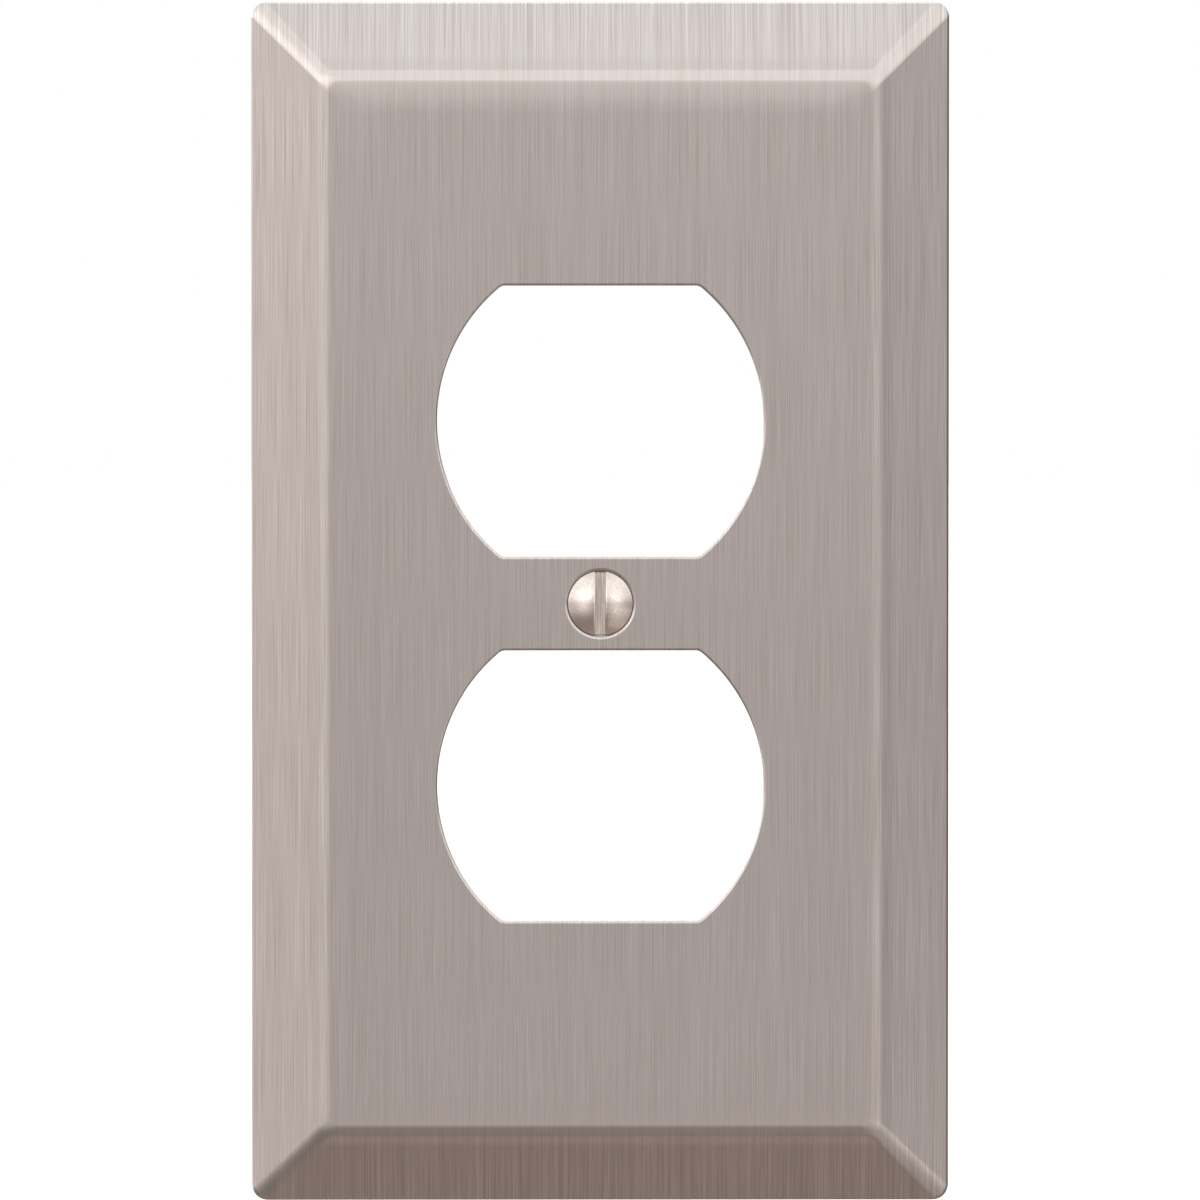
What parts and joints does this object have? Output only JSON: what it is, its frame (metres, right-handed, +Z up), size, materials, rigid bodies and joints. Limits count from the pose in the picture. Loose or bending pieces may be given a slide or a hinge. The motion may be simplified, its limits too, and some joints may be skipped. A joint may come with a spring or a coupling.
{
  "type": "duplex receptacle wall plate",
  "caption": "Stamped metal wall plate with a bevelled frame, two receptacle openings and a captive slotted oval-head screw in the middle.",
  "frame": {"origin": "where the mounting screw's axis crosses the wall plane, at the middle of the plate's back", "axes": "+Z up along the plate's long side, +X to the right as seen from the room, +Y into the wall; the finished face looks along -Y"},
  "size_m": [0.0746, 0.0139, 0.1282],
  "materials": {
    "brushed_nickel_steel": "brushed along the long side, satin nickel",
    "nickel_plated_screw": "smooth nickel plate",
    "natural_nylon": "moulded, translucent white"
  },
  "bodies": {
    "plate": {"wall_plate": "brushed_nickel_steel"},
    "washer": {"retaining_washer": "natural_nylon"},
    "screw": {"mounting_screw": "nickel_plated_screw"}
  },
  "joints": [
    {"name": "screw_travel", "type": "slide", "parent": "plate", "child": "washer", "axis": [0, -1, 0], "range_m": [0, 0.00188]},
    {"name": "screw_turn", "type": "hinge", "parent": "washer", "child": "screw", "pos_m": [0, 0, 0], "axis": [0, -1, 0], "range_deg": [0, 855]}
  ],
  "couplings": [
    {"joint": "screw_turn", "follows": "screw_travel", "rad_per_m": 7915.8}
  ]
}
